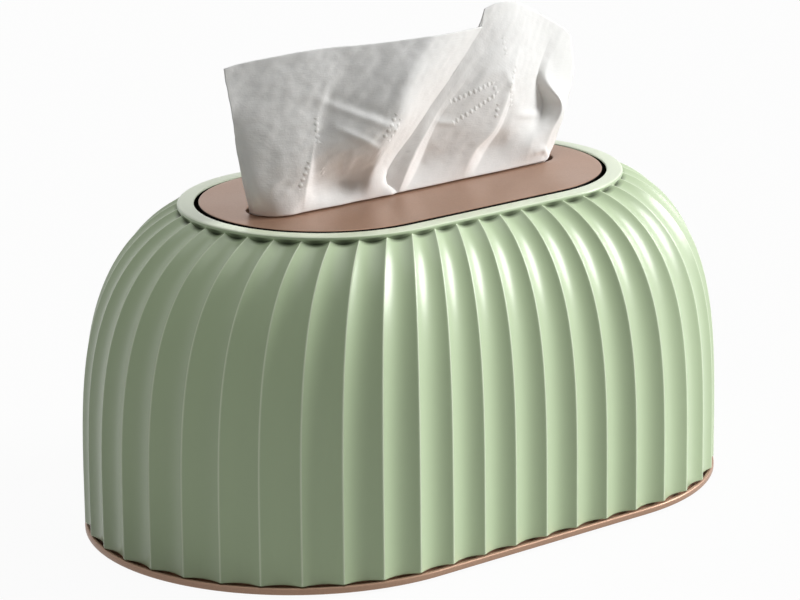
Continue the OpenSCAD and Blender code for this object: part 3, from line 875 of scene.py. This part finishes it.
# The drawn tissue, as lines that run up the cloth from left to right. Each has the
# sharpness of the fold along it, from 0 to 1, its foot on the slot's edge as
# [x, y], and four points up to its top as [x, y, height over the lid plate], in mm
FOOT_HEIGHT = 0.7
CLOTH_LINES = (
    (0, -62.2, 2.7, -65.1, 1, 8, -68.3, 0, 19.6, -70.6, 0, 34.4, -71.6, 2, 48.6),
    (0, -64.2, -2.9, -66.5, -5, 9.1, -66.9, -3.5, 20, -67, -1.5, 34.5, -66.3, 0.5, 49.7),
    (0, -61.8, -8.8, -61.8, -8.5, 8.6, -61.2, -6.5, 19.7, -60.1, -4.5, 34.6, -57.3, -2.5, 50.8),
    (0, -56.5, -11.4, -55.6, -10.5, 8.6, -54.1, -9.4, 19.7, -50.7, -7.5, 35.3, -45.1, -6, 51.9),
    (0.9, -51.1, -11.3, -49.6, -11.6, 8.5, -47, -11.2, 19.9, -42.1, -9.6, 35.4, -34.8, -8.5, 52.2),
    (0.3, -45.1, -11.4, -43.4, -8.9, 7.6, -44.8, -11.5, 19.3, -38.5, -10.2, 35.3, -30.4, -9.6, 52.1),
    (0, -36.3, -11.8, -31.9, -7.4, 7.1, -36.1, -14.6, 20.1, -29.3, -14.2, 36.2, -20.3, -12.6, 52.1),
    (0, -29.1, -11.6, -26.5, -10.6, 8.5, -26.6, -18.2, 21.6, -19.9, -18, 37.4, -9.7, -16, 52.5),
    (0, -23.9, -11.8, -23.1, -12.6, 10, -19.3, -19, 23.2, -12, -19.6, 37.9, -0.4, -18, 52.7),
    (0, -18.8, -11.8, -18.6, -11.2, 10, -11.4, -15, 23.3, 0.2, -15.6, 37.9, 13.5, -14.6, 51.9),
    (1, -14.9, -12.2, -14.5, -8.5, 7.2, -3, -8.4, 18.9, 12.3, -8.8, 34.6, 27.6, -9, 50.5),
    (1, -12.2, -11.4, -14, -8.4, 7.1, 4.8, -8.4, 26.8, 24.4, -8.9, 47.1, 28.1, -9.2, 56.4),
    (0.9, -11.5, -11.5, -4.7, -10.8, 11.1, 5.7, -9.3, 22.7, 26.2, -8.9, 44.8, 32.6, -8.6, 57.4),
    (0.9, -8.3, -11.4, 1.3, -7.2, 8.1, 7.8, -8.6, 21.3, 28.7, -9, 43.1, 37.2, -7.4, 57.4),
    (0, 4.2, -11.4, 11.5, -8.9, 9.2, 17.1, -10.1, 20.8, 32.9, -9.7, 39.9, 44.4, -5.2, 56.3),
    (0.9, 16.3, -11, 22, -11, 9.2, 31.9, -11.8, 17.5, 40.7, -9.4, 34, 51.9, -2.8, 53.4),
    (0.9, 20.6, -11.1, 30.4, -6.8, 7.8, 36.6, -9, 17.3, 45.3, -7.2, 32.3, 58.3, -0.6, 50.5),
    (0, 32.9, -11.1, 38.4, -8.4, 7.9, 43.4, -7.8, 17.8, 52.8, -3.8, 29.6, 65.3, 1.6, 47),
    (1, 44.6, -10.6, 48.6, -9.6, 8.6, 61.2, -1, 17.1, 58.3, -1.2, 28.7, 71, 3.4, 44.1),
    (0.8, 51.7, -10.2, 56.9, -9, 7.9, 64.1, -7.5, 17.7, 60.9, -2.4, 28.7, 76.6, 5, 41),
    (0, 55.4, -9.6, 66.3, -2, 5.2, 72.7, 0, 15.5, 79.9, 4.5, 26.1, 80.3, 6.5, 38.1),
)

# Short creases pressed into the cloth: [x and height over the lid plate at one end,
# the same at the other end, push in y, half width] in mm
CREASES = (
    (-42.7, 36.1, -18.1, 24.1, -0.75, 1.5),
    (-38.4, 27.0, -24.1, 18.4, -0.65, 1.2),
    (-33.7, 18.9, -31.4, 9.2, -0.55, 1.4),
    (-37.9, 34.7, -21.4, 28.6, 0.7, 2.6),
    (44.1, 17.5, 58.6, 14.8, -0.8, 1.4),
    (5.5, 21.7, 15.0, 19.2, -0.45, 1.1),
    (48.2, 3.9, 52.7, 5.3, -0.7, 1.2),
    (52.3, 5.5, 57.3, 1.2, -0.7, 1.2),
    (36.1, 34.3, 41.5, 23.2, -0.45, 1.5),
)


def through(knots, sharp, count):
    """A smooth run of points through knots, with a corner where one is sharp."""
    last = len(knots) - 1
    t = np.linspace(0, last, count)
    i = np.minimum(t.astype(int), last - 1)
    f = (t - i)[:, None, None]
    c = np.asarray(sharp, float)[:, None, None]
    step = np.diff(knots, axis=0)
    mean = np.concatenate([step[:1], (step[1:] + step[:-1]) / 2, step[-1:]])
    after = np.concatenate([mean[:-1] * (1 - c[:-1]) + step * c[:-1], mean[-1:]])
    before = np.concatenate([mean[:1], mean[1:] * (1 - c[1:]) + step * c[1:]])
    ends = (2 * f**3 - 3 * f**2 + 1) * knots[i] + (3 * f**2 - 2 * f**3) * knots[i + 1]
    return ends + (f**3 - 2 * f**2 + f) * after[i] + (f**3 - f**2) * before[i + 1]


def cloth_grid(columns, rows, tail, slot_half_l, slot_half_w):
    """Places of the cloth's middle surface on a grid, in mm over the lid plate's
    top, with rows from the tail up. It comes up inside the slot, bends out over
    the slot's front edge and stands up from there."""
    table = np.array(CLOTH_LINES)
    sharp, points = table[:, 0], np.insert(table[:, 1:], 2, FOOT_HEIGHT, axis=1)
    lines = points.reshape(len(table), -1, 3)
    up = through(lines.transpose(1, 0, 2), np.zeros(lines.shape[1]), rows)
    free = through(up.transpose(1, 0, 2), sharp, columns).transpose(1, 0, 2)
    foot = free[0]
    axis = np.clip(foot[:, 0], slot_half_w - slot_half_l, slot_half_l - slot_half_w)
    away = np.column_stack([foot[:, 0] - axis, foot[:, 1]])
    far = np.linalg.norm(away, axis=1)
    # heights of the rows below the foot, each with its distance from the slot's
    # edge: twelve for the tail, which gathers in folds, and five round the bend
    bend = ((-1.5, 0.9), (-0.9, 0.75), (-0.4, 0.6), (0.0, 0.3), (0.35, 0.12))
    below = []
    for height, inside in [(h, 0.9) for h in np.linspace(-tail, -3, 12)] + list(bend):
        fade = min(max((-3 - height) / 9, 0), 1)
        fold = 0.28 * fade * (1 + np.sin(foot[:, 0] / 5.3 + 0.9 * np.sin(foot[:, 0] / 12)))
        reach = np.minimum(far, slot_half_w - inside) * (1 - fold)
        ring = away * (reach / far)[:, None]
        below.append(np.column_stack([axis + ring[:, 0], ring[:, 1], np.full(columns, height)]))
    return np.concatenate([np.array(below), free])


def wrinkled(grid):
    """The cloth's grid with soft dents, 17 to 13 mm long, and a finer crumple, which
    push it to and fro and die away towards the slot, and with its pressed creases."""
    made = grid.copy()
    for row in made:
        free = min(max(row[0, 2] / 8, 0), 1)
        for point in row if free else ():
            x, _, z = point
            broad = noise.noise(Vector((x / 17, z / 13, 1)))
            slant = noise.noise(Vector(((x + 0.6 * z) / 9, (z - 0.7 * x) / 3.2, 5)))
            fine = noise.noise(Vector((x / 3.1, z / 2.6, 9)))
            point[1] += free * (0.5 * broad + 0.25 * slant + 0.1 * fine)
    for x0, h0, x1, h1, push, width in CREASES:
        run = np.array((x1 - x0, h1 - h0))
        from_end = grid[..., (0, 2)] - (x0, h0)
        along = np.clip(from_end @ run / (run @ run), 0, 1)
        far = np.linalg.norm(from_end - along[..., None] * run, axis=-1)
        fade = np.sin(math.pi * np.clip(along, 0.04, 0.96)) ** 0.5
        made[..., 1] += push * fade * np.exp(-((far / width) ** 2))
    return made


def flat_uv(sheet, row, col, grid):
    """Lays the UV map out in metres of flat cloth."""
    across = np.linalg.norm(np.diff(grid, axis=1), axis=2).mean(0)
    up = np.linalg.norm(np.diff(grid, axis=0), axis=2).mean(1)
    x = np.concatenate([[0], np.cumsum(across)]) * MM
    y = np.concatenate([[0], np.cumsum(up)]) * MM
    y = y[-1] - y
    layer = sheet.data.uv_layers.active or sheet.data.uv_layers.new(name="flat_cloth")
    loops = np.empty(len(sheet.data.loops), int)
    sheet.data.loops.foreach_get("vertex_index", loops)
    layer.data.foreach_set("uv", np.column_stack([x[col[loops]], y[row[loops]]]).ravel())


class TISSUEBOX_OT_sheet(bpy.types.Operator):
    """Models the tissue that is drawn up through the slot"""

    bl_idname = "tissuebox.drawn_sheet"
    bl_label = "Drawn tissue"

    def execute(self, context):
        s = context.scene.tissue_box_sizes
        tail = (s.lid_top - sheet_low.z) / MM - 0.4
        grid = cloth_grid(300, 140, tail, s.slot_l / 2 / MM, s.slot_w / 2 / MM)
        rows, columns = grid.shape[:2]
        fresh_selection()
        bpy.ops.mesh.primitive_grid_add(x_subdivisions=columns - 1, y_subdivisions=rows - 1, size=2)
        sheet = bpy.context.object
        sheet.name = "drawn_tissue"
        at = (points_of(sheet)[:, :2] + 1) / 2
        col, row = np.rint(at * (columns - 1, rows - 1)).astype(int).T
        co = wrinkled(grid).reshape(-1, 3) * MM + np.array([0, 0, s.lid_top])
        put_points(sheet, co[row * columns + col])
        flat_uv(sheet, row, col, grid)
        apply_modifier(sheet, "SOLIDIFY", thickness=0.3 * MM, offset=0)
        bpy.ops.object.transform_apply(location=True, rotation=True, scale=True)
        bpy.ops.object.shade_smooth()
        tissue = context.scene.tissue_box_colours.tissue
        finish = creped_tissue("creped_tissue_drawn", tissue, True)
        finish_piece(sheet, "sheet", "tissue", finish, "drawn_sheet")
        return {"FINISHED"}


# ---------------------------- stage

# The camera as fitted to an image of 800 x 600 pixels: its focal length, how far
# its axis lies right of the middle and above it, and its distance from the box
IMAGE_WIDTH = 800
FOCAL_LENGTH = 3451.8
AXIS_RIGHT, AXIS_UP = 4.74, 0.98
SENSOR_WIDTH = 36
CAMERA_ROLL = math.radians(-0.57)
CAMERA_AIM = (0, 0, 0.06899)
CAMERA_DISTANCE = 1.1639


def seen_directly(tree):
    """1 for rays of the camera, of reflections and through glass, otherwise 0."""
    path = add_node(tree, "LightPath").outputs
    seen = path["Is Camera Ray"]
    for ray in ("Is Glossy Ray", "Is Transmission Ray"):
        seen = add_node(tree, "Math", {"operation": "MAXIMUM"}, i0=seen, i1=path[ray])
    return seen


def studio_light(name, azimuth, height, energy, angle):
    """A distant soft lamp: azimuth in degrees from +X towards -Y, and its
    height over the horizon."""
    a, h = math.radians(azimuth), math.radians(height)
    light_from = Vector((math.cos(a) * math.cos(h), -math.sin(a) * math.cos(h), math.sin(h)))
    bpy.ops.object.light_add(type="SUN", location=light_from * 2)
    lamp = bpy.context.object
    lamp.name = name
    lamp.rotation_euler = light_from.to_track_quat("Z", "Y").to_euler()
    lamp.data.energy = energy
    lamp.data.angle = math.radians(angle)


def pale_card(rgb):
    """Pale card: near white to the camera with a faint shadow."""
    material, tree = new_finish("pale_card")
    card = add_node(
        tree, "BsdfPrincipled", Base_Color=shaded(rgb, 0.85), Roughness=1.0, Specular_IOR_Level=0.0
    )
    glow = add_node(tree, "Emission", Color=(1, 1, 1, 1), Strength=1.0)
    share = add_node(tree, "Math", {"operation": "MULTIPLY"}, i0=seen_directly(tree), i1=0.95)
    mix = add_node(tree, "MixShader", i0=share, i1=card, i2=glow)
    add_node(tree, "OutputMaterial", Surface=mix)
    return material


def studio_world(scene):
    """Soft even light, with a white background for what the camera and
    reflections see."""
    world = bpy.data.worlds.new("studio")
    scene.world = world
    world.use_nodes = True
    tree = world.node_tree
    tree.nodes.clear()
    strength = add_node(tree, "MapRange", Value=seen_directly(tree), To_Min=0.02, To_Max=1.0)
    sky = add_node(tree, "Background", Color=(1, 1, 1, 1), Strength=strength)
    add_node(tree, "OutputWorld", Surface=sky)


class TISSUEBOX_OT_stage(bpy.types.Operator):
    """Makes the camera, the studio light and the pale floor"""

    bl_idname = "tissuebox.stage"
    bl_label = "Stage"

    azimuth: bpy.props.FloatProperty(
        name="Azimuth",
        default=math.radians(-39.14),
        subtype="ANGLE",
        description="Camera's place round the box",
    )
    elevation: bpy.props.FloatProperty(
        name="Elevation",
        default=math.radians(15.9),
        subtype="ANGLE",
        description="Camera's height over the horizon",
    )

    def execute(self, context):
        self.photo_camera(context)
        # a large low window at the right front, and a weaker soft light overhead
        studio_light("key_light", 26, 21, 3.5, 26)
        studio_light("top_light", 0, 86, 1.0, 50)
        bpy.ops.mesh.primitive_plane_add(size=12)
        floor = context.object
        floor.name = "floor"
        floor.data.materials.append(pale_card(context.scene.tissue_box_colours.floor))
        studio_world(context.scene)
        context.scene.view_settings.view_transform = "Standard"
        return {"FINISHED"}

    def photo_camera(self, context):
        """The camera of the photograph, at the operator's azimuth and elevation."""
        a, e = self.azimuth, self.elevation
        back = Vector((math.sin(a) * math.cos(e), -math.cos(a) * math.cos(e), math.sin(e)))
        right = Vector((math.cos(a), math.sin(a), 0))
        level = Matrix((right, back.cross(right), back)).transposed()
        fresh_selection()
        bpy.ops.object.camera_add(location=Vector(CAMERA_AIM) + back * CAMERA_DISTANCE)
        camera = context.object
        camera.name = "photo_camera"
        camera.rotation_euler = (level @ Matrix.Rotation(CAMERA_ROLL, 3, "Z")).to_euler()
        camera.data.sensor_width = SENSOR_WIDTH
        camera.data.lens = FOCAL_LENGTH * SENSOR_WIDTH / IMAGE_WIDTH
        camera.data.shift_x = -AXIS_RIGHT / IMAGE_WIDTH
        camera.data.shift_y = -AXIS_UP / IMAGE_WIDTH
        camera.data.clip_start, camera.data.clip_end = 0.05, 50
        context.scene.camera = camera


class TISSUEBOX_PT_panel(bpy.types.Panel):
    """Sizes, colours and steps of the tissue box"""

    bl_idname = "TISSUEBOX_PT_panel"
    bl_label = "Tissue box"
    bl_space_type = "VIEW_3D"
    bl_region_type = "UI"
    bl_category = "Tissue box"

    def draw(self, context):
        layout = self.layout
        for step in STEPS:
            layout.operator(step.bl_idname)
        for group in (context.scene.tissue_box_sizes, context.scene.tissue_box_colours):
            column = layout.column(align=True)
            for key in group.bl_rna.properties.keys():
                if key not in ("rna_type", "name"):
                    column.prop(group, key)


STEPS = (
    TISSUEBOX_OT_stage,
    TISSUEBOX_OT_cover,
    TISSUEBOX_OT_lid,
    TISSUEBOX_OT_base,
    TISSUEBOX_OT_pads,
    TISSUEBOX_OT_pack,
    TISSUEBOX_OT_sheet,
)
CLASSES = (TissueBoxSizes, TissueBoxColours, *STEPS, TISSUEBOX_PT_panel)


def register():
    for cls in CLASSES:
        bpy.utils.register_class(cls)
    bpy.types.Scene.tissue_box_sizes = bpy.props.PointerProperty(type=TissueBoxSizes)
    bpy.types.Scene.tissue_box_colours = bpy.props.PointerProperty(type=TissueBoxColours)


def unregister():
    del bpy.types.Scene.tissue_box_colours
    del bpy.types.Scene.tissue_box_sizes
    for cls in reversed(CLASSES):
        bpy.utils.unregister_class(cls)


def main():
    register()
    bpy.ops.tissuebox.stage()
    bpy.ops.tissuebox.cover()
    bpy.ops.tissuebox.lid_plate()
    bpy.ops.tissuebox.base_plate()
    bpy.ops.tissuebox.foot_pads()
    bpy.ops.tissuebox.tissue_pack()
    bpy.ops.tissuebox.drawn_sheet()


if __name__ == "__main__":
    main()
